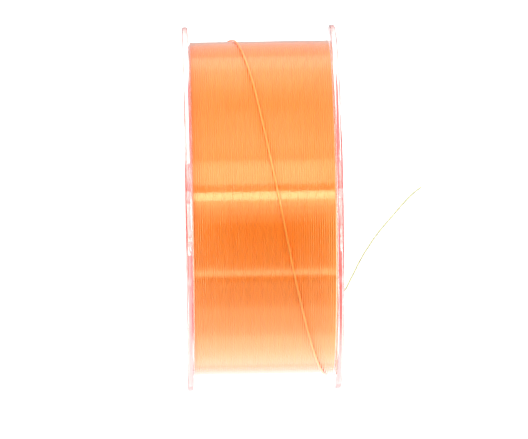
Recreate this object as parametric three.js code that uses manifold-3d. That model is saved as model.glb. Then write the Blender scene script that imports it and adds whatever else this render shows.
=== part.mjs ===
// A fishing line spool: two clear moulded flanges, a drum and an arbor tube between them,
// a label on each flange, the wound line, and the line's free end.
// Millimetres. The spool's axis is X and the rims stand at the bottom. The origin is the spool's centre.
import * as THREE from "three";
import { mergeVertices } from "three/addons/utils/BufferGeometryUtils.js";
import Module from "manifold-3d";

// The whole spool
const flangeRadius = 50;
const overallWidth = 42;
const windingWidth = 38.6;
const segmentsRound = 72;

// Flange: a thin web with a thicker rim, and raised rings round the label
const webThickness = 1.1;
const rimDepth = 2.2;
const rimCorner = 0.45;
const boreRadius = 8;
const labelRingInner = 23.6;
const labelRingOuter = 25.2;
const boreCollarOuter = 9.6;
const raisedHeight = 0.4;

// Rings inside each flange that locate the drum and the arbor tube
const locatorDepth = 3;
const locatorWall = 1.5;
const slipFit = 0.15;

// Drum and arbor tube
const drumRadius = 22;
const drumWall = 1.6;
const arborWall = 1.6;

// Label
const labelInner = 9.9;
const labelOuter = 23.2;
const labelThickness = 0.25;

// Line
const lineDiameter = 0.6;
const fillRadius = 45.86;
const windingSideGap = 0.1;
const windingShoulder = 0.3;
const lineClearance = 0.3;
const tubeSides = 8;
const tailSteps = 24;
const lastTurnSteps = 78;

// Tape over the line's start, on the drum
const tapeWidth = 14;
const tapeThickness = 0.3;
const tapeSegments = 9;
const tapePocketGap = 0.3;
const tapePocketOverhang = 1;
const tapePocketBelow = 1;

// The hole for the line's end, in the right flange. Angles run from the front (-Y) up towards +Z.
const endHoleRadius = 1;
const endHoleSides = 20;
const endHoleAt = 46.7;
const endHoleAngle = -139;

// The last turn crosses the winding: [angle in degrees, X], from behind the left flange over the top to the right
const lastTurnRoute = [
  [172, -18.3],
  [150, -15.4],
  [120, -10.9],
  [96, -7.2],
  [72, -4.4],
  [49, -1.5],
  [31, 0.95],
  [18, 2.9],
  [-2, 5.9],
  [-17, 8.1],
  [-42, 12.0],
  [-61, 14.7],
  [-75, 16.5],
  [-92, 18.1],
  [-105, 18.3],
  [-138, 18.3],
];

// The free end comes out through the hole and springs up behind the right flange
const tailRoute = [
  [18.85, 35.24, -30.64],
  [19.6, 35.24, -30.64],
  [20.6, 35.28, -30.62],
  [21.7, 35.45, -30.4],
  [22.9, 35.7, -29.9],
  [24.3, 36.0, -28.8],
  [25.6, 36.4, -26.4],
  [27.1, 37.2, -23.7],
  [28.6, 38.1, -21.0],
  [31.0, 39.4, -17.3],
  [34.4, 40.9, -12.9],
  [38.3, 42.1, -8.7],
  [41.1, 42.8, -5.6],
  [44.2, 43.3, -2.6],
  [46.6, 43.6, -0.9],
];

const innerFace = windingWidth / 2;
const webFace = innerFace + webThickness;
const outerFace = overallWidth / 2;
const drumInner = drumRadius - drumWall;
const arborOuter = boreRadius + arborWall;

const wasm = await Module();
wasm.setup();

function radians(degrees) {
  return (degrees * Math.PI) / 180;
}

// A point at a radius from the axis. The angle runs from the front (-Y) up towards +Z.
function roundAxis(x, radius, degrees) {
  const angle = radians(degrees);
  return new THREE.Vector3(x, -radius * Math.cos(angle), radius * Math.sin(angle));
}

// A ring from a closed profile of [radius, X] corners, walked from the inner low side to the outer low side.
function turned(profile) {
  const outline = [...profile, profile[0]].map(([radius, x]) => new THREE.Vector2(radius, x));
  const geometry = new THREE.LatheGeometry(outline, segmentsRound, Math.PI / segmentsRound);
  return geometry.rotateZ(-Math.PI / 2);
}

function tube(inner, outer, from, to) {
  return turned([
    [inner, from],
    [outer, from],
    [outer, to],
    [inner, to],
  ]);
}

// A round line that follows a list of points.
function lineAlong(points, steps) {
  const corners = [];
  for (let i = 0; i < tubeSides; i += 1) {
    const angle = (2 * Math.PI * i) / tubeSides;
    const radius = lineDiameter / 2;
    corners.push(new THREE.Vector2(radius * Math.cos(angle), radius * Math.sin(angle)));
  }
  return new THREE.ExtrudeGeometry(new THREE.Shape(corners), {
    steps,
    curveSegments: tubeSides,
    bevelEnabled: false,
    extrudePath: new THREE.CatmullRomCurve3(points, false, "centripetal"),
  });
}

function solidOf(geometry) {
  const bare = new THREE.BufferGeometry();
  const loose = geometry.index ? geometry.toNonIndexed() : geometry;
  bare.setAttribute("position", loose.getAttribute("position").clone());
  const merged = mergeVertices(bare, 1e-4);
  return new wasm.Manifold(
    new wasm.Mesh({
      numProp: 3,
      vertProperties: merged.attributes.position.array,
      triVerts: new Uint32Array(merged.index.array),
    }),
  );
}

function geometryOf(solid) {
  const mesh = solid.getMesh();
  const geometry = new THREE.BufferGeometry();
  geometry.setAttribute("position", new THREE.BufferAttribute(mesh.vertProperties, 3));
  geometry.setIndex(new THREE.BufferAttribute(mesh.triVerts, 1));
  const flat = geometry.toNonIndexed();
  flat.computeVertexNormals();
  return flat;
}

// One flange, for the right side: side is 1 for the right and -1 for the left.
function flangeSolid(side) {
  const rimInner = flangeRadius - rimDepth;
  const easedIn = flangeRadius - rimCorner;
  const half = rimCorner * 0.3;
  const raised = webFace + raisedHeight;
  const locatorEnd = innerFace - locatorDepth;
  const drumLocatorOuter = drumInner - slipFit;
  const drumLocatorInner = drumLocatorOuter - locatorWall;
  const arborLocatorInner = arborOuter + slipFit;
  const arborLocatorOuter = arborLocatorInner + locatorWall;
  const profile = [
    [boreRadius, innerFace],
    [arborLocatorInner, innerFace],
    [arborLocatorInner, locatorEnd],
    [arborLocatorOuter, locatorEnd],
    [arborLocatorOuter, innerFace],
    [drumLocatorInner, innerFace],
    [drumLocatorInner, locatorEnd],
    [drumLocatorOuter, locatorEnd],
    [drumLocatorOuter, innerFace],
    [easedIn, innerFace],
    [flangeRadius - half, innerFace + half],
    [flangeRadius, innerFace + rimCorner],
    [flangeRadius, outerFace - rimCorner],
    [flangeRadius - half, outerFace - half],
    [easedIn, outerFace],
    [rimInner + rimCorner, outerFace],
    [rimInner, outerFace - rimCorner],
    [rimInner, webFace],
    [labelRingOuter, webFace],
    [labelRingOuter, raised],
    [labelRingInner, raised],
    [labelRingInner, webFace],
    [boreCollarOuter, webFace],
    [boreCollarOuter, raised],
    [boreRadius, raised],
  ];
  if (side > 0) {
    return solidOf(turned(profile));
  }
  return solidOf(turned(profile.map(([radius, x]) => [radius, -x]).reverse()));
}

function rightFlange() {
  const hole = new THREE.CylinderGeometry(endHoleRadius, endHoleRadius, 3 * webThickness, endHoleSides);
  hole.rotateZ(-Math.PI / 2);
  const centre = roundAxis(innerFace + webThickness / 2, endHoleAt, endHoleAngle);
  hole.translate(centre.x, centre.y, centre.z);
  return geometryOf(flangeSolid(1).subtract(solidOf(hole)));
}

// A patch that lies on the drum's facets, centred on the top. overhang widens it at each end, in degrees.
function drumPatch(inner, outer, width, overhang) {
  const facet = 360 / segmentsRound;
  const angles = [];
  for (let i = 0; i <= tapeSegments; i += 1) {
    angles.push(radians(90 + (i - tapeSegments / 2) * facet));
  }
  angles[0] -= radians(overhang);
  angles[tapeSegments] += radians(overhang);
  const over = angles.map((angle) => new THREE.Vector2(Math.cos(angle) * outer, Math.sin(angle) * outer));
  const under = angles.map((angle) => new THREE.Vector2(Math.cos(angle) * inner, Math.sin(angle) * inner));
  const shape = new THREE.Shape([...over, ...under.reverse()]);
  const patch = new THREE.ExtrudeGeometry(shape, { depth: width, bevelEnabled: false });
  patch.rotateX(Math.PI / 2);
  patch.rotateZ(Math.PI / 2);
  patch.translate(-width / 2, 0, 0);
  return patch;
}

function winding() {
  const half = innerFace - windingSideGap;
  const shoulder = fillRadius - windingShoulder;
  const ring = turned([
    [drumRadius, -half],
    [shoulder, -half],
    [fillRadius, -half + windingShoulder],
    [fillRadius, half - windingShoulder],
    [shoulder, half],
    [drumRadius, half],
  ]);
  const pocket = drumPatch(
    drumRadius - tapePocketBelow,
    drumRadius + tapeThickness + tapePocketGap,
    tapeWidth + 2 * tapePocketGap,
    tapePocketOverhang,
  );
  return geometryOf(solidOf(ring).subtract(solidOf(pocket)));
}

function lastTurn() {
  const radius = fillRadius + lineClearance + lineDiameter / 2;
  const unrolled = new THREE.CatmullRomCurve3(
    lastTurnRoute.map(([degrees, x]) => new THREE.Vector3(degrees, x, 0)),
    false,
    "centripetal",
  );
  const points = unrolled.getSpacedPoints(lastTurnSteps).map((at) => roundAxis(at.y, radius, at.x));
  return lineAlong(points, lastTurnSteps);
}

function tail() {
  return lineAlong(tailRoute.map(([x, y, z]) => new THREE.Vector3(x, y, z)), tailSteps);
}

const clearPlastic = { color: 0xf4dcd8, roughness: 0.08, metalness: 0 };
const drumPlastic = { color: 0xe9a7a2, roughness: 0.2, metalness: 0 };
const labelPaper = { color: 0xd8453f, roughness: 0.5, metalness: 0 };
const orangeNylon = { color: 0xff8a3c, roughness: 0.25, metalness: 0 };
const tapeFilm = { color: 0xe6d7a8, roughness: 0.3, metalness: 0 };

const spool = new THREE.Group();

function addNode(name, geometry, surface) {
  const mesh = new THREE.Mesh(geometry, new THREE.MeshStandardMaterial(surface));
  mesh.name = name;
  spool.add(mesh);
}

addNode("left_flange", geometryOf(flangeSolid(-1)), clearPlastic);
addNode("right_flange", rightFlange(), clearPlastic);
addNode("drum_tube", tube(drumInner, drumRadius, -innerFace, innerFace), drumPlastic);
addNode("arbor_tube", tube(boreRadius, arborOuter, -innerFace, innerFace), drumPlastic);
addNode("left_label", tube(labelInner, labelOuter, -webFace - labelThickness, -webFace), labelPaper);
addNode("right_label", tube(labelInner, labelOuter, webFace, webFace + labelThickness), labelPaper);
addNode(
  "line_start_tape",
  drumPatch(drumRadius, drumRadius + tapeThickness, tapeWidth, 0),
  tapeFilm,
);
addNode("line_winding", winding(), orangeNylon);
addNode("line_last_turn", lastTurn(), orangeNylon);
addNode("line_tail", tail(), orangeNylon);

export default spool;
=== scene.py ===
import bpy, bmesh, math
from mathutils import Vector, Matrix


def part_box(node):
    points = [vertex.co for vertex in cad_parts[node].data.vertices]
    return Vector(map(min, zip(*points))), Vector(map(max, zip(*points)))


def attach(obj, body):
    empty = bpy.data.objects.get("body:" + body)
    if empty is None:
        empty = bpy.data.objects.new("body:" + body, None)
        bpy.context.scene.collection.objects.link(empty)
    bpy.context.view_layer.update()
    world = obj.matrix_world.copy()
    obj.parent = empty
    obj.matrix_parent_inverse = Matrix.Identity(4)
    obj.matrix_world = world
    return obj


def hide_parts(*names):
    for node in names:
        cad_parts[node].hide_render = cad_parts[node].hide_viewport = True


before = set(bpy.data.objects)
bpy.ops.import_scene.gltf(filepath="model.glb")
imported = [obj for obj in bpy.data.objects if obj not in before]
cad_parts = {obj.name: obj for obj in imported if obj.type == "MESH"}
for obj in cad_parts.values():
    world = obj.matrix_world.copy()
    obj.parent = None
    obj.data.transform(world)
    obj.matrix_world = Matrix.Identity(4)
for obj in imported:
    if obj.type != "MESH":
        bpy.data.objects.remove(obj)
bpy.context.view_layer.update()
mm = 0.001
print("frame loaded", sorted(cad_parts))

# Sizes that the pieces share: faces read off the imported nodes, then the spool's radii
rightBox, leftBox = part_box("right_flange"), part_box("left_flange")
outerFace = rightBox[1][0]
groundZ = min(rightBox[0][2], leftBox[0][2])
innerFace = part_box("drum_tube")[1][0]
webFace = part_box("right_label")[0][0]
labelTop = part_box("right_label")[1][0]
flangeRadius = 50 * mm
fillRadius = 45.86 * mm
drumRadius = 22 * mm
boreRadius = 8 * mm
lineRadius = 0.3 * mm


def around(x, radius, degrees):
    # a point at a radius from the axis, the angle counted from the front (-Y) up towards +Z
    angle = math.radians(degrees)
    return Vector((x, -radius * math.cos(angle), radius * math.sin(angle)))


def smoothThrough(points, perSpan):
    # a Catmull-Rom curve through the points, as a finer list
    fine = []
    for i in range(len(points) - 1):
        a, b, c, d = (points[max(i - 1, 0)], points[i], points[i + 1], points[min(i + 2, len(points) - 1)])
        for k in range(perSpan):
            t = k / perSpan
            fine.append(0.5 * ((2 * b) + (c - a) * t + (2 * a - 5 * b + 4 * c - d) * t * t
                               + (3 * b - a - 3 * c + d) * t ** 3))
    fine.append(points[-1].copy())
    return fine


def linear(hexColour):
    # sRGB hex to the linear values that a shader socket takes
    parts = [int(hexColour[i:i + 2], 16) / 255 for i in (0, 2, 4)]
    return tuple(c / 12.92 if c <= 0.04045 else ((c + 0.055) / 1.055) ** 2.4 for c in parts) + (1.0,)


def addNode(tree, kind, values=None, links=None, **settings):
    # values fill input sockets, links join them to other nodes, settings are the node's own options;
    # a colour mix has its factor at 0, its two colours at 6 and 7, and its result at 2
    node = tree.nodes.new(kind)
    for name, value in settings.items():
        setattr(node, name, value)
    for name, value in (values or {}).items():
        node.inputs[name].default_value = value
    for name, source in (links or {}).items():
        tree.links.new(source, node.inputs[name])
    return node


def newMaterial(name):
    material = bpy.data.materials.new(name)
    material.use_nodes = True
    material.node_tree.nodes.clear()
    return material, material.node_tree


def meshPiece(name, bm, material, smooth=True):
    mesh = bpy.data.meshes.new(name)
    bm.to_mesh(mesh)
    bm.free()
    mesh.polygons.foreach_set("use_smooth", [smooth] * len(mesh.polygons))
    mesh.materials.append(material)
    piece = bpy.data.objects.new(name, mesh)
    bpy.context.scene.collection.objects.link(piece)
    return piece


# Camera
camera = {"distance": 1.35, "elevation": 8.0, "azimuth": -1.21, "roll": 0.80,
          "frameWidth": 0.14504, "shift": (0.00587, -0.02197), "sensor": 36.0, "clip": (0.01, 20)}


def placeCamera():
    up, side = math.radians(camera["elevation"]), math.radians(camera["azimuth"])
    out = Vector((math.cos(up) * math.sin(side), -math.cos(up) * math.cos(side), math.sin(up)))
    data = bpy.data.cameras.new("camera")
    data.sensor_width = camera["sensor"]
    data.lens = camera["sensor"] * camera["distance"] / camera["frameWidth"]
    data.clip_start, data.clip_end = camera["clip"]
    eye = bpy.data.objects.new("camera", data)
    bpy.context.scene.collection.objects.link(eye)
    turn = (-out).to_track_quat("-Z", "Y").to_matrix()
    turn = turn @ Matrix.Rotation(math.radians(-camera["roll"]), 3, "Z")
    eye.location = out * camera["distance"]
    eye.rotation_euler = turn.to_euler()
    data.shift_x, data.shift_y = camera["shift"]
    bpy.context.scene.camera = eye


placeCamera()
print("camera placed")


# The line's free end: heavy nylon keeps the curl of the spool and stands out by itself
tail = {"points": [(18.85, 35.24, -30.64), (19.6, 35.24, -30.64), (20.6, 35.28, -30.62),
                   (21.7, 35.45, -30.4), (22.9, 35.7, -29.9), (24.3, 36.0, -28.8), (25.6, 36.4, -26.4),
                   (27.1, 37.2, -23.7), (28.6, 38.1, -21.0), (31.0, 39.4, -17.3), (34.4, 40.9, -12.9),
                   (38.3, 42.1, -8.7), (41.1, 42.8, -5.6), (44.2, 43.3, -2.6), (46.6, 43.6, -0.9)],
        "fromHole": (20.4, 35.24, -30.64), "length": 0.0434, "perSpan": 3, "ringSteps": 6}


def drawnNylonFreeEnd():
    # drawn nylon, one strand: water-clear with a little yellow, so it nearly vanishes against white
    material, tree = newMaterial("drawnNylonFreeEnd")
    place = addNode(tree, "ShaderNodeTexCoord")
    drawn = addNode(tree, "ShaderNodeTexNoise", {"Scale": 900.0, "Detail": 2.0},
                    {"Vector": place.outputs["Object"]})
    rough = addNode(tree, "ShaderNodeMapRange", {"To Min": 0.04, "To Max": 0.12},
                    {"Value": drawn.outputs["Fac"]})
    colour = addNode(tree, "ShaderNodeMix", {6: linear("c9cdaa"), 7: linear("c4c6a0")},
                     {0: drawn.outputs["Fac"]}, data_type="RGBA")
    shader = addNode(tree, "ShaderNodeBsdfPrincipled", {"IOR": 1.53, "Transmission Weight": 0.6},
                     {"Base Color": colour.outputs[2], "Roughness": rough.outputs["Result"]})
    addNode(tree, "ShaderNodeOutputMaterial", None, {"Surface": shader.outputs["BSDF"]})
    return material


def makeTail():
    points = smoothThrough([Vector(p) * mm for p in tail["points"]], tail["perSpan"])
    curve = bpy.data.curves.new("lineFreeEnd", "CURVE")
    curve.dimensions = "3D"
    spline = curve.splines.new("POLY")
    spline.points.add(len(points) - 1)
    for place, point in zip(spline.points, points):
        place.co = (*point, 1)
    curve.bevel_depth = lineRadius
    curve.bevel_resolution = tail["ringSteps"]
    curve.use_fill_caps = True
    curve.materials.append(drawnNylonFreeEnd())
    piece = bpy.data.objects.new("lineFreeEnd", curve)
    bpy.context.scene.collection.objects.link(piece)
    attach(piece, "root")
    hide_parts("line_tail")


makeTail()
print("free end laid")


# Materials
def clearPolystyrene():
    # crystal polystyrene, moulded and polished: clear through its face, pink where it is looked at edge on
    material, tree = newMaterial("clearPolystyrene")
    place = addNode(tree, "ShaderNodeTexCoord")
    flow = addNode(tree, "ShaderNodeTexNoise", {"Scale": 60.0, "Detail": 3.0},
                   {"Vector": place.outputs["Object"]})
    rough = addNode(tree, "ShaderNodeMapRange", {"To Min": 0.01, "To Max": 0.06},
                    {"Value": flow.outputs["Fac"]})
    ripple = addNode(tree, "ShaderNodeBump", {"Strength": 0.04, "Distance": 0.0004},
                     {"Height": flow.outputs["Fac"]})
    edge = addNode(tree, "ShaderNodeLayerWeight", {"Blend": 0.5})
    turned = addNode(tree, "ShaderNodeMapRange", {"From Min": 0.45, "From Max": 0.95},
                     {"Value": edge.outputs["Facing"]})
    colour = addNode(tree, "ShaderNodeMix", {6: linear("fffbfb"), 7: linear("ffb2b6")},
                     {0: turned.outputs["Result"]}, data_type="RGBA")
    shader = addNode(tree, "ShaderNodeBsdfPrincipled", {"IOR": 1.59, "Transmission Weight": 1.0},
                     {"Base Color": colour.outputs[2], "Roughness": rough.outputs["Result"],
                      "Normal": ripple.outputs["Normal"]})
    tint = addNode(tree, "ShaderNodeVolumeAbsorption", {"Color": (1.0, 0.5, 0.45, 1.0), "Density": 6.5})
    addNode(tree, "ShaderNodeOutputMaterial", None,
            {"Surface": shader.outputs["BSDF"], "Volume": tint.outputs[0]})
    return material


def tintedStyreneDrum():
    # the drum's plastic: milky rose, as moulded, with a soft sheen
    material, tree = newMaterial("tintedStyreneDrum")
    place = addNode(tree, "ShaderNodeTexCoord")
    cloud = addNode(tree, "ShaderNodeTexNoise", {"Scale": 90.0, "Detail": 4.0},
                    {"Vector": place.outputs["Object"]})
    colour = addNode(tree, "ShaderNodeMix", {6: linear("e98f88"), 7: linear("f0a49c")},
                     {0: cloud.outputs["Fac"]}, data_type="RGBA")
    rough = addNode(tree, "ShaderNodeMapRange", {"To Min": 0.22, "To Max": 0.38},
                    {"Value": cloud.outputs["Fac"]})
    shader = addNode(tree, "ShaderNodeBsdfPrincipled", {"IOR": 1.59},
                     {"Base Color": colour.outputs[2], "Roughness": rough.outputs["Result"]})
    addNode(tree, "ShaderNodeOutputMaterial", None, {"Surface": shader.outputs["BSDF"]})
    return material


# how far in from each flange the line's colour shifts: painted light near the right flange, painted shade
# near the left one
paintedSideLightSpan = {"litFrom": 15.5, "litTo": 19.2, "shadedFrom": -18.2, "shadedTo": -19.2}


def drawnOrangeNylon(name, deep, pale, sideLit, sideShaded, seed):
    # drawn nylon in many layers: deep orange, with painted light making it paler near the lit flange and
    # painted shade making it redder near the shaded one
    material, tree = newMaterial(name)
    place = addNode(tree, "ShaderNodeTexCoord")
    alongAxis = addNode(tree, "ShaderNodeMapping", {"Scale": (1700.0, 6.0, 6.0), "Location": (seed, 0, 0)},
                        {"Vector": place.outputs["Object"]})
    perTurn = addNode(tree, "ShaderNodeTexNoise", {"Scale": 1.0, "Detail": 2.0},
                      {"Vector": alongAxis.outputs[0]})
    spread = addNode(tree, "ShaderNodeMapRange", {"From Min": 0.35, "From Max": 0.65},
                     {"Value": perTurn.outputs["Fac"]})
    strand = addNode(tree, "ShaderNodeMix", {6: linear(deep), 7: linear(pale)},
                     {0: spread.outputs["Result"]}, data_type="RGBA")
    across = addNode(tree, "ShaderNodeSeparateXYZ", None, {"Vector": place.outputs["Object"]})
    lit = addNode(tree, "ShaderNodeMapRange",
                  {"From Min": paintedSideLightSpan["litFrom"] * mm, "From Max": paintedSideLightSpan["litTo"] * mm},
                  {"Value": across.outputs["X"]})
    # painted light: the line turns paler towards the right flange
    litSide = addNode(tree, "ShaderNodeMix", {7: linear(sideLit)},
                      {0: lit.outputs["Result"], 6: strand.outputs[2]}, data_type="RGBA")
    shaded = addNode(tree, "ShaderNodeMapRange",
                     {"From Min": paintedSideLightSpan["shadedFrom"] * mm, "From Max": paintedSideLightSpan["shadedTo"] * mm},
                     {"Value": across.outputs["X"]})
    # painted shade: the line turns redder towards the left flange
    colour = addNode(tree, "ShaderNodeMix", {7: linear(sideShaded)},
                     {0: shaded.outputs["Result"], 6: litSide.outputs[2]}, data_type="RGBA")
    rough = addNode(tree, "ShaderNodeMapRange", {"To Min": 0.06, "To Max": 0.10},
                    {"Value": perTurn.outputs["Fac"]})
    shader = addNode(tree, "ShaderNodeBsdfPrincipled",
                     {"IOR": 1.7, "Specular IOR Level": 1.0, "Specular Tint": linear("ffec9c"),
                      "Coat Weight": 1.0, "Coat IOR": 1.38, "Coat Roughness": 0.05},
                     {"Base Color": colour.outputs[2], "Roughness": rough.outputs["Result"]})
    addNode(tree, "ShaderNodeOutputMaterial", None, {"Surface": shader.outputs["BSDF"]})
    return material


# the last three entries set a painted glow on the label's glued side: its brightness, how deep it reaches
# and its fade
labelPrintAndGlow = {"waves": 18.0, "waveRadius": 13.8, "waveHeight": 0.45, "waveLine": 0.28, "reach": 25.0,
              "rings": [(0.0, "f6ead8"), (16.2, "d8453f"), (16.8, "f6ead8"), (17.3, "d8453f"),
                        (22.6, "b5322f")],
              "paintedGlowLevel": 1.3, "paintedGlowDepth": 0.05, "paintedGlowFade": 0.01}


def printedLabelPaper():
    # coated label paper, offset printed: a red ring, a thin cream line and a cream middle with a wavy line,
    # with a painted glow on its glued side
    material, tree = newMaterial("printedLabelPaper")
    place = addNode(tree, "ShaderNodeTexCoord")
    split = addNode(tree, "ShaderNodeSeparateXYZ", None, {"Vector": place.outputs["Object"]})
    flat = addNode(tree, "ShaderNodeCombineXYZ", None, {"Y": split.outputs["Y"], "Z": split.outputs["Z"]})
    radius = addNode(tree, "ShaderNodeVectorMath", None, {0: flat.outputs[0]}, operation="LENGTH")
    angle = addNode(tree, "ShaderNodeMath", None,
                    {0: split.outputs["Z"], 1: split.outputs["Y"]}, operation="ARCTAN2")
    turns = addNode(tree, "ShaderNodeMath", {1: labelPrintAndGlow["waves"]}, {0: angle.outputs[0]},
                    operation="MULTIPLY")
    wave = addNode(tree, "ShaderNodeMath", None, {0: turns.outputs[0]}, operation="SINE")
    lift = addNode(tree, "ShaderNodeMath",
                   {1: labelPrintAndGlow["waveHeight"] * mm, 2: labelPrintAndGlow["waveRadius"] * mm},
                   {0: wave.outputs[0]}, operation="MULTIPLY_ADD")
    fromWave = addNode(tree, "ShaderNodeMath", None, {0: radius.outputs["Value"], 1: lift.outputs[0]},
                       operation="SUBTRACT")
    offWave = addNode(tree, "ShaderNodeMath", None, {0: fromWave.outputs[0]}, operation="ABSOLUTE")
    onWave = addNode(tree, "ShaderNodeMath", {1: labelPrintAndGlow["waveLine"] * mm}, {0: offWave.outputs[0]},
                     operation="LESS_THAN")
    ramp = addNode(tree, "ShaderNodeValToRGB")
    ramp.color_ramp.interpolation = "CONSTANT"
    rings = labelPrintAndGlow["rings"]
    span = addNode(tree, "ShaderNodeMapRange", {"From Min": 0.0, "From Max": labelPrintAndGlow["reach"] * mm},
                   {"Value": radius.outputs["Value"]})
    tree.links.new(span.outputs["Result"], ramp.inputs["Fac"])
    while len(ramp.color_ramp.elements) < len(rings):
        ramp.color_ramp.elements.new(1.0)
    for element, (at, colour) in zip(ramp.color_ramp.elements, rings):
        element.position = at / labelPrintAndGlow["reach"]
        element.color = linear(colour)
    printed = addNode(tree, "ShaderNodeMix", {7: linear("d8453f")},
                      {0: onWave.outputs[0], 6: ramp.outputs["Color"]}, data_type="RGBA")
    fibre = addNode(tree, "ShaderNodeTexNoise", {"Scale": 2500.0, "Detail": 5.0},
                    {"Vector": place.outputs["Object"]})
    tooth = addNode(tree, "ShaderNodeBump", {"Strength": 0.15, "Distance": 0.00005},
                    {"Height": fibre.outputs["Fac"]})
    rough = addNode(tree, "ShaderNodeMapRange", {"To Min": 0.38, "To Max": 0.55},
                    {"Value": fibre.outputs["Fac"]})
    depth = addNode(tree, "ShaderNodeMath", None, {0: split.outputs["X"]}, operation="ABSOLUTE")
    stuckSide = webFace + labelPrintAndGlow["paintedGlowDepth"] * mm
    paintedGlowStrength = addNode(tree, "ShaderNodeMapRange",
                     {"From Min": stuckSide, "From Max": stuckSide + labelPrintAndGlow["paintedGlowFade"] * mm,
                      "To Min": labelPrintAndGlow["paintedGlowLevel"], "To Max": 0.0},
                     {"Value": depth.outputs[0]})  # painted glow: the glued side gives off red light of its own, standing in for light soaking through the thin paper
    # painted glow: the emission colour and strength make the glued side give off red light
    shader = addNode(tree, "ShaderNodeBsdfPrincipled", {"IOR": 1.5, "Emission Color": linear("ea6f6d")},
                     {"Base Color": printed.outputs[2], "Roughness": rough.outputs["Result"],
                      "Normal": tooth.outputs["Normal"], "Emission Strength": paintedGlowStrength.outputs["Result"]})
    addNode(tree, "ShaderNodeOutputMaterial", None, {"Surface": shader.outputs["BSDF"]})
    return material


def adhesiveTapeFilm():
    # acetate tape over the line's start: honey coloured with a satin face
    material, tree = newMaterial("adhesiveTapeFilm")
    place = addNode(tree, "ShaderNodeTexCoord")
    grain = addNode(tree, "ShaderNodeTexNoise", {"Scale": 700.0, "Detail": 3.0},
                    {"Vector": place.outputs["Object"]})
    colour = addNode(tree, "ShaderNodeMix", {6: linear("e2cf98"), 7: linear("eddfb4")},
                     {0: grain.outputs["Fac"]}, data_type="RGBA")
    rough = addNode(tree, "ShaderNodeMapRange", {"To Min": 0.3, "To Max": 0.5},
                    {"Value": grain.outputs["Fac"]})
    shader = addNode(tree, "ShaderNodeBsdfPrincipled", {"IOR": 1.48},
                     {"Base Color": colour.outputs[2], "Roughness": rough.outputs["Result"]})
    addNode(tree, "ShaderNodeOutputMaterial", None, {"Surface": shader.outputs["BSDF"]})
    return material


clear = clearPolystyrene()
drumPlastic = tintedStyreneDrum()
# the last two colours of each nylon are painted light near the right flange and painted shade near the left
# one
woundNylon = drawnOrangeNylon("drawnOrangeNylonWound", "ff7e24", "ff8228", "ff9236", "f05a20", 0.0)
# painted light: the single strand is the wound line's nylon made lighter, standing in for the light it
# catches as it stands proud
crossingNylon = drawnOrangeNylon("drawnOrangeNylonSingle", "ff9435", "ff9b3d", "ffa245", "f47e30", 4.0)
labelPaper = printedLabelPaper()
tapeFilm = adhesiveTapeFilm()
print("materials mixed")


# Turned pieces
turning = {"steps": 256, "smallSteps": 192}


def rounded(corners, cut, arcSteps=3):
    # rounds chosen corners of a closed outline of (radius, x); cut holds each corner's own rounding
    outline = []
    for i, (corner, size) in enumerate(zip(corners, cut)):
        here = Vector(corner)
        if not size:
            outline.append(here)
            continue
        before = (Vector(corners[i - 1]) - here).normalized() * size
        after = (Vector(corners[(i + 1) % len(corners)]) - here).normalized() * size
        for k in range(arcSteps + 1):
            t = k / arcSteps
            outline.append((1 - t) ** 2 * (here + before) + 2 * t * (1 - t) * here + t * t * (here + after))
    return outline


def spun(name, outline, material, steps):
    # a closed outline of (radius, x) turned round the axis
    bm = bmesh.new()
    rings = [[bm.verts.new(around(x, radius, 360 * k / steps)) for radius, x in outline]
             for k in range(steps)]
    count = len(outline)
    for k in range(steps):
        here, after = rings[k], rings[(k + 1) % steps]
        for i in range(count):
            j = (i + 1) % count
            bm.faces.new((here[i], here[j], after[j], after[i]))
    bmesh.ops.recalc_face_normals(bm, faces=bm.faces)
    if bm.calc_volume(signed=True) < 0:
        bmesh.ops.reverse_faces(bm, faces=bm.faces)
    return meshPiece(name, bm, material)


def sharpen(piece, degrees=30):
    # keeps flat faces flat beside their rounded edges
    bm = bmesh.new()
    bm.from_mesh(piece.data)
    for edge in bm.edges:
        if len(edge.link_faces) == 2 and edge.calc_face_angle(0) > math.radians(degrees):
            edge.smooth = False
    bm.to_mesh(piece.data)
    bm.free()


flange = {"rimDepth": 2.2, "rimEdge": 0.5, "recessEdge": 0.3, "cornerEdge": 0.18, "smallEdge": 0.15,
          "labelRing": (23.6, 25.2), "boreCollar": 9.6, "raised": 0.4, "locatorDepth": 3.0,
          "locatorWall": 1.5, "slipFit": 0.15, "wall": 1.6}


def flangeOutline(side):
    rimInner = flangeRadius - flange["rimDepth"] * mm
    ringIn, ringOut = (r * mm for r in flange["labelRing"])
    collar, raised = flange["boreCollar"] * mm, webFace + flange["raised"] * mm
    end = innerFace - flange["locatorDepth"] * mm
    drumOut = drumRadius - flange["wall"] * mm - flange["slipFit"] * mm
    drumIn = drumOut - flange["locatorWall"] * mm
    arborIn = boreRadius + flange["wall"] * mm + flange["slipFit"] * mm
    arborOut = arborIn + flange["locatorWall"] * mm
    edge, recess, corner, small = (flange[name] * mm
                                   for name in ("rimEdge", "recessEdge", "cornerEdge", "smallEdge"))
    corners = [(boreRadius, innerFace), (arborIn, innerFace), (arborIn, end), (arborOut, end),
               (arborOut, innerFace), (drumIn, innerFace), (drumIn, end), (drumOut, end),
               (drumOut, innerFace), (flangeRadius, innerFace), (flangeRadius, outerFace),
               (rimInner, outerFace), (rimInner, webFace), (ringOut, webFace), (ringOut, raised),
               (ringIn, raised), (ringIn, webFace), (collar, webFace), (collar, raised),
               (boreRadius, raised)]
    cut = [0, 0, small, small, 0, 0, small, small, 0, edge, edge, recess, corner] + [small] * 7
    outline = rounded(corners, cut)
    return [(radius, side * x) for radius, x in outline]


endHole = {"radius": 1.0, "at": 46.7, "degrees": -139, "drillLength": 6.0}


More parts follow.
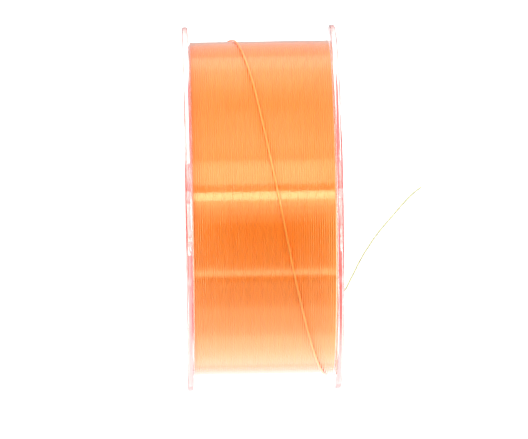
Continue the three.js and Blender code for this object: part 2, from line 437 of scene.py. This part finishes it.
def makeFlanges():
    left = spun("leftFlangeMoulding", flangeOutline(-1), clear, turning["steps"])
    right = spun("rightFlangeMoulding", flangeOutline(1), clear, turning["steps"])
    bm = bmesh.new()
    centre = around(innerFace, endHole["at"] * mm, endHole["degrees"])
    turn = Matrix.Translation(centre) @ Matrix.Rotation(math.pi / 2, 4, "Y")
    bmesh.ops.create_cone(bm, cap_ends=True, segments=32, radius1=endHole["radius"] * mm,
                          radius2=endHole["radius"] * mm, depth=endHole["drillLength"] * mm, matrix=turn)
    drill = meshPiece("drill", bm, clear)
    cut = right.modifiers.new("endHole", "BOOLEAN")
    cut.operation, cut.object, cut.solver = "DIFFERENCE", drill, "EXACT"
    solid = bpy.data.meshes.new_from_object(right.evaluated_get(bpy.context.evaluated_depsgraph_get()))
    right.modifiers.clear()
    right.data = solid
    bpy.data.objects.remove(drill)
    for piece, node in ((left, "left_flange"), (right, "right_flange")):
        sharpen(piece)
        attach(piece, "root")
        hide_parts(node)


makeFlanges()
print("flanges turned")


tubes = {"drumBite": 0.02, "arborGap": 0.03, "edge": 0.15}


def makeTubes():
    # the drum is welded and bites a hair into the flanges, the arbor only meets them
    wall = flange["wall"] * mm
    drumReach, arborReach = innerFace + tubes["drumBite"] * mm, innerFace - tubes["arborGap"] * mm
    for name, node, inner, outer, reach in (
            ("drumTube", "drum_tube", drumRadius - wall, drumRadius, drumReach),
            ("arborTube", "arbor_tube", boreRadius, boreRadius + wall, arborReach)):
        corners = [(inner, -reach), (outer, -reach), (outer, reach), (inner, reach)]
        outline = rounded(corners, [tubes["edge"] * mm] * 4)
        piece = spun(name, outline, drumPlastic, turning["smallSteps"])
        sharpen(piece)
        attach(piece, "root")
        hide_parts(node)


makeTubes()
print("tubes turned")


label = {"inner": 9.9, "outer": 23.2, "glue": 0.02, "edge": 0.08}


def makeLabels():
    for name, node, side in (("leftLabel", "left_label", -1), ("rightLabel", "right_label", 1)):
        low, high = webFace - label["glue"] * mm, labelTop
        inner, outer = label["inner"] * mm, label["outer"] * mm
        corners = [(inner, side * low), (outer, side * low), (outer, side * high), (inner, side * high)]
        edge = label["edge"] * mm
        piece = spun(name, rounded(corners, [0, 0, edge, edge]), labelPaper, turning["smallSteps"])
        sharpen(piece)
        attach(piece, "root")
        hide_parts(node)


makeLabels()
print("labels stuck on")


tape = {"width": 14.0, "thickness": 0.12, "span": 45.0, "steps": 24}


def makeTape():
    # the tape lies on the drum's top and goes over the line's first turn
    bm = bmesh.new()
    low, high = drumRadius, drumRadius + tape["thickness"] * mm
    half = tape["width"] / 2 * mm
    rows = []
    for k in range(tape["steps"] + 1):
        degrees = 90 + tape["span"] * (k / tape["steps"] - 0.5)
        rows.append([bm.verts.new(around(x, radius, degrees))
                     for radius, x in ((low, -half), (high, -half), (high, half), (low, half))])
    for here, after in zip(rows, rows[1:]):
        for i in range(4):
            j = (i + 1) % 4
            bm.faces.new((here[i], here[j], after[j], after[i]))
    bm.faces.new(rows[0])
    bm.faces.new(list(reversed(rows[-1])))
    bmesh.ops.recalc_face_normals(bm, faces=bm.faces)
    piece = meshPiece("lineStartTape", bm, tapeFilm)
    sharpen(piece)
    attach(piece, "root")
    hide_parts("line_start_tape")


makeTape()
print("tape laid")


# The wound line
winding = {"turns": 63.5, "pointsPerTurn": 160, "sides": 8, "waver": 0.012, "layers": 40, "sideSteps": 150,
           "sideGap": 0.12, "grooveDepth": 0.11, "topInset": 0.6, "layerInset": 0.3, "layerBulge": 0.26,
           "layerTuck": 0.15, "seed": 3.0}


def makeWoundBody():
    # everything under the outer layer: its two sides show the edge turn of every layer
    half = innerFace - winding["sideGap"] * mm
    top = fillRadius - winding["grooveDepth"] * mm
    pitch = (top - drumRadius) / winding["layers"]
    outline = []
    for side in (-1, 1):
        if side > 0:
            outline += [(top, edge * (half - winding["topInset"] * mm)) for edge in (-1, -0.98, 0.98, 1)]
        layers = range(winding["layers"]) if side < 0 else range(winding["layers"] - 1, -1, -1)
        for layer in layers:
            steps = (-1, -0.5, 0, 0.5) if side < 0 else (1, 0.5, 0, -0.5)
            inset = (winding["layerInset"] + winding["layerTuck"] * (layer % 2)) * mm
            for t in steps:
                bulge = math.sqrt(max(0.0, 1 - t * t)) * winding["layerBulge"] * mm
                radius = drumRadius + pitch * (layer + 0.5 + t / 2)
                outline.append((radius, side * (half - inset + bulge)))
    outline = [outline[0]] + [after for before, after in zip(outline, outline[1:])
                              if (Vector(after) - Vector(before)).length > 1e-7]
    return spun("woundLineBody", outline, woundNylon, winding["sideSteps"])


def windingTree():
    # one helix of touching turns, each a thin round line
    tree = bpy.data.node_groups.new("windTurns", "GeometryNodeTree")
    for name, kind in (("Turns", "NodeSocketFloat"), ("Radius", "NodeSocketFloat"),
                       ("Width", "NodeSocketFloat"), ("Line Radius", "NodeSocketFloat"),
                       ("Points Per Turn", "NodeSocketInt"), ("Sides", "NodeSocketInt"),
                       ("Waver", "NodeSocketFloat"), ("Seed", "NodeSocketFloat"),
                       ("Line", "NodeSocketMaterial")):
        tree.interface.new_socket(name, in_out="INPUT", socket_type=kind)
    tree.interface.new_socket("Mesh", in_out="OUTPUT", socket_type="NodeSocketGeometry")
    given = addNode(tree, "NodeGroupInput")
    helix = addNode(tree, "GeometryNodeCurveSpiral", None,
                    {"Rotations": given.outputs["Turns"], "Resolution": given.outputs["Points Per Turn"],
                     "Start Radius": given.outputs["Radius"], "End Radius": given.outputs["Radius"],
                     "Height": given.outputs["Width"]})
    half = addNode(tree, "ShaderNodeMath", {1: -0.5}, {0: given.outputs["Width"]}, operation="MULTIPLY")
    down = addNode(tree, "ShaderNodeCombineXYZ", None, {"Z": half.outputs[0]})
    centred = addNode(tree, "GeometryNodeTransform", None,
                      {"Geometry": helix.outputs[0], "Translation": down.outputs[0]})
    onAxis = addNode(tree, "GeometryNodeTransform", {"Rotation": (0, math.pi / 2, 0)},
                     {"Geometry": centred.outputs[0]})
    here = addNode(tree, "GeometryNodeInputPosition")
    stretched = addNode(tree, "ShaderNodeVectorMath", {1: (1300.0, 22.0, 22.0)}, {0: here.outputs[0]},
                        operation="MULTIPLY")
    noise = addNode(tree, "ShaderNodeTexNoise", {"Scale": 1.0, "Detail": 1.0},
                    {"Vector": stretched.outputs[0], "W": given.outputs["Seed"]}, noise_dimensions="4D")
    centredNoise = addNode(tree, "ShaderNodeVectorMath", {1: (-0.5, -0.5, -0.5)},
                           {0: noise.outputs["Color"]}, operation="ADD")
    sway = addNode(tree, "ShaderNodeVectorMath", None,
                   {0: centredNoise.outputs[0], "Scale": given.outputs["Waver"]}, operation="SCALE")
    moved = addNode(tree, "GeometryNodeSetPosition", None,
                    {"Geometry": onAxis.outputs[0], "Offset": sway.outputs[0]})
    radial = addNode(tree, "ShaderNodeVectorMath", {1: (0.0, 1.0, 1.0)},
                     {0: here.outputs[0]}, operation="MULTIPLY")
    upright = addNode(tree, "GeometryNodeSetCurveNormal", None,
                      {"Curve": moved.outputs[0], "Normal": radial.outputs[0]}, mode="FREE")
    section = addNode(tree, "GeometryNodeCurvePrimitiveCircle", None,
                      {"Resolution": given.outputs["Sides"], "Radius": given.outputs["Line Radius"]})
    solid = addNode(tree, "GeometryNodeCurveToMesh", {"Fill Caps": True},
                    {"Curve": upright.outputs[0], "Profile Curve": section.outputs["Curve"]})
    soft = addNode(tree, "GeometryNodeSetShadeSmooth", None, {"Geometry": solid.outputs[0]})
    real = addNode(tree, "GeometryNodeRealizeInstances", None, {"Geometry": soft.outputs[0]})
    done = addNode(tree, "GeometryNodeSetMaterial", None,
                   {"Geometry": real.outputs[0], "Material": given.outputs["Line"]})
    addNode(tree, "NodeGroupOutput", None, {"Mesh": done.outputs[0]})
    return tree


def grown(name, tree, values):
    # runs a node tree once and keeps its plain mesh
    mesh = bpy.data.meshes.new(name)
    piece = bpy.data.objects.new(name, mesh)
    bpy.context.scene.collection.objects.link(piece)
    modifier = piece.modifiers.new("tree", "NODES")
    modifier.node_group = tree
    for item in tree.interface.items_tree:
        if item.in_out == "INPUT" and item.name in values:
            modifier[item.identifier] = values[item.name]
    bpy.context.view_layer.update()
    made = bpy.data.meshes.new_from_object(piece.evaluated_get(bpy.context.evaluated_depsgraph_get()))
    piece.modifiers.clear()
    piece.data = made
    return piece


def makeWinding():
    body = makeWoundBody()
    width = (innerFace - winding["sideGap"] * mm - lineRadius) * 2
    turns = grown("woundLineTurns", windingTree(), {
        "Turns": winding["turns"], "Radius": fillRadius - lineRadius, "Width": width,
        "Line Radius": lineRadius, "Points Per Turn": winding["pointsPerTurn"], "Sides": winding["sides"],
        "Waver": winding["waver"] * mm, "Seed": winding["seed"], "Line": woundNylon})
    for piece in (body, turns):
        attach(piece, "root")
        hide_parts("line_winding")
    print("turns wound,", len(turns.data.polygons), "faces")


makeWinding()


# The last turn crosses the winding at a slant and ends at the hole in the right flange
lastTurn = {"route": [(172, -18.3), (150, -15.4), (120, -10.9), (96, -7.2), (72, -4.4), (49, -1.5),
                      (31, 0.95), (18, 2.9), (-2, 5.9), (-17, 8.1), (-42, 12.0), (-61, 14.7),
                      (-75, 16.5), (-92, 18.1), (-105, 18.3), (-138, 18.3)],
            "perSpan": 14, "sides": 10, "lift": 0.26}


def tubeAlong(name, points, radius, sides, material):
    # a round tube with closed ends, whose first side always faces away from the spool's axis
    bm = bmesh.new()
    rings = []
    for i, point in enumerate(points):
        ahead = (points[min(i + 1, len(points) - 1)] - points[max(i - 1, 0)]).normalized()
        out = Vector((0, point.y, point.z)).normalized()
        out = (out - ahead * out.dot(ahead)).normalized()
        across = ahead.cross(out)
        rings.append([bm.verts.new(point + radius * (math.cos(a) * out + math.sin(a) * across))
                      for a in (2 * math.pi * k / sides for k in range(sides))])
    for here, after in zip(rings, rings[1:]):
        for i in range(sides):
            j = (i + 1) % sides
            bm.faces.new((here[i], here[j], after[j], after[i]))
    bm.faces.new(rings[0])
    bm.faces.new(list(reversed(rings[-1])))
    bmesh.ops.recalc_face_normals(bm, faces=bm.faces)
    return meshPiece(name, bm, material)


def makeLastTurn():
    flat = smoothThrough([Vector((degrees, x, 0)) for degrees, x in lastTurn["route"]], lastTurn["perSpan"])
    radius = fillRadius + lastTurn["lift"] * mm
    points = [around(at.y * mm, radius, at.x) for at in flat]
    piece = tubeAlong("lineLastTurn", points, lineRadius, lastTurn["sides"], crossingNylon)
    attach(piece, "root")
    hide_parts("line_last_turn")


makeLastTurn()
print("last turn laid")


# Studio
studio = {"distance": 1.5, "worldLevel": 0.1, "floorColour": "fbfaf7", "floorSize": 4.0,
          # each soft box: elevation from and to, counted from the front over the top, then azimuth, width
          # and brightness
          "boxes": {"underStrip": (3.5, 9, 0, 2.4, 1.4), "horizonStrip": (-2, 3.5, 0, 2.4, 0.6),
                    "lowerStrip": (9, 13.5, 0, 2.4, 2.3), "keyStrip": (13.5, 18.9, 0, 2.6, 6.2),
                    "upperStrip": (24, 40, 0, 2.4, 1.9), "overhead": (40, 118, 0, 2.4, 0.86),
                    "backdropHigh": (118, 135, 0, 5.0, 1.3), "backdropLow": (135, 178, 0, 5.0, 0.5),
                    "backGlow": (125, 165, 0, 5.0, 3.6), "keyLeft": (14, 30, -50, 0.7, 3.1),
                    "keyRight": (14, 30, 50, 0.7, 3.1), "fillLeft": (30, 50, -45, 0.7, 1.3),
                    "fillRight": (30, 50, 45, 0.7, 1.3), "sideLeft": (0, 45, -85, 0.7, 1.9),
                    "sideRight": (0, 45, 85, 0.7, 1.9)},
          "unmirrored": ("backGlow",),  # lights the line but isn't mirrored in it
          # what the floor gives back to the spool, in bands from front to back: start and brightness
          "bands": [(-0.2, 0.14), (-0.108, 0.5), (-0.103, 1.3), (-0.1, 2.3), (-0.097, 3.0),
                    (-0.091, 1.0), (-0.089, 0.0), (-0.082, 0.53), (-0.056, 1.26), (-0.035, 1.95),
                    (-0.015, 1.3), (0.015, 1.0)],
          "bandReach": 0.2, "whiteLevel": 1.05, "diffuseBounces": 5, "lightBounces": 64}


def studioWorld():
    world = bpy.data.worlds.new("studioWhite")
    world.use_nodes = True
    tree = world.node_tree
    tree.nodes.clear()
    ray = addNode(tree, "ShaderNodeLightPath")
    seen = addNode(tree, "ShaderNodeMath", None,
                   {0: ray.outputs["Is Camera Ray"], 1: ray.outputs["Is Transmission Ray"]},
                   operation="MAXIMUM")
    level = addNode(tree, "ShaderNodeMapRange",
                    {"To Min": studio["worldLevel"], "To Max": studio["whiteLevel"]},
                    {"Value": seen.outputs[0]})
    back = addNode(tree, "ShaderNodeBackground", {"Color": (1, 1, 1, 1)},
                   {"Strength": level.outputs["Result"]})
    addNode(tree, "ShaderNodeOutputWorld", None, {"Surface": back.outputs[0]})
    bpy.context.scene.world = world


def softBox(name, start, end, azimuth, width, brightness):
    # a rectangle of light aimed at the spool, out of the camera's sight
    distance = studio["distance"]
    height = 2 * distance * math.tan(math.radians((end - start) / 2))
    data = bpy.data.lights.new(name, "AREA")
    data.shape, data.size, data.size_y = "RECTANGLE", width, height
    data.energy = brightness * math.pi * width * height
    lamp = bpy.data.objects.new(name, data)
    bpy.context.scene.collection.objects.link(lamp)
    lamp.location = Matrix.Rotation(math.radians(azimuth), 3, "Z") @ around(0, distance, (start + end) / 2)
    lamp.rotation_euler = (-lamp.location).to_track_quat("-Z", "Y").to_euler()
    lamp.visible_camera = False
    lamp.visible_transmission = False
    lamp.visible_glossy = name not in studio["unmirrored"]


def studioFloor():
    # seen, it is plain white; what it throws back on the spool comes in bands
    bm = bmesh.new()
    bmesh.ops.create_grid(bm, x_segments=1, y_segments=1, size=studio["floorSize"])
    bmesh.ops.translate(bm, vec=(0, 0, groundZ), verts=bm.verts)
    material, tree = newMaterial("paleFloor")
    place = addNode(tree, "ShaderNodeTexCoord")
    split = addNode(tree, "ShaderNodeSeparateXYZ", None, {"Vector": place.outputs["Object"]})
    reach = studio["bandReach"]
    span = addNode(tree, "ShaderNodeMapRange", {"From Min": -reach, "From Max": reach},
                   {"Value": split.outputs["Y"]})
    ramp = addNode(tree, "ShaderNodeValToRGB", None, {"Fac": span.outputs["Result"]})
    ramp.color_ramp.interpolation = "CONSTANT"
    while len(ramp.color_ramp.elements) < len(studio["bands"]):
        ramp.color_ramp.elements.new(1.0)
    for element, (at, brightness) in zip(ramp.color_ramp.elements, studio["bands"]):
        element.position = (at + reach) / (2 * reach)
        element.color = (brightness, brightness, brightness, 1.0)
    ray = addNode(tree, "ShaderNodeLightPath")
    seen = addNode(tree, "ShaderNodeMath", None,
                   {0: ray.outputs["Is Camera Ray"], 1: ray.outputs["Is Transmission Ray"]},
                   operation="MAXIMUM")
    colour = addNode(tree, "ShaderNodeMix", {6: (0, 0, 0, 1), 7: linear(studio["floorColour"])},
                     {0: seen.outputs[0]}, data_type="RGBA")
    glow = addNode(tree, "ShaderNodeMix", {7: (1, 1, 1, 1)},
                   {0: seen.outputs[0], 6: ramp.outputs["Color"]}, data_type="RGBA")
    shader = addNode(tree, "ShaderNodeBsdfPrincipled",
                     {"Emission Strength": 1.0, "Specular IOR Level": 0.0, "Roughness": 0.8},
                     {"Base Color": colour.outputs[2], "Emission Color": glow.outputs[2]})
    addNode(tree, "ShaderNodeOutputMaterial", None, {"Surface": shader.outputs["BSDF"]})
    floor = meshPiece("floor", bm, material, smooth=False)


studioWorld()
studioFloor()
for boxName, box in studio["boxes"].items():
    softBox(boxName, *box)
scene = bpy.context.scene
scene.view_settings.view_transform = "Standard"
scene.cycles.max_bounces = studio["lightBounces"]
scene.cycles.transmission_bounces = studio["lightBounces"]
scene.cycles.glossy_bounces = studio["lightBounces"]
scene.cycles.diffuse_bounces = studio["diffuseBounces"]
scene.cycles.volume_bounces = 0
print("studio lit")
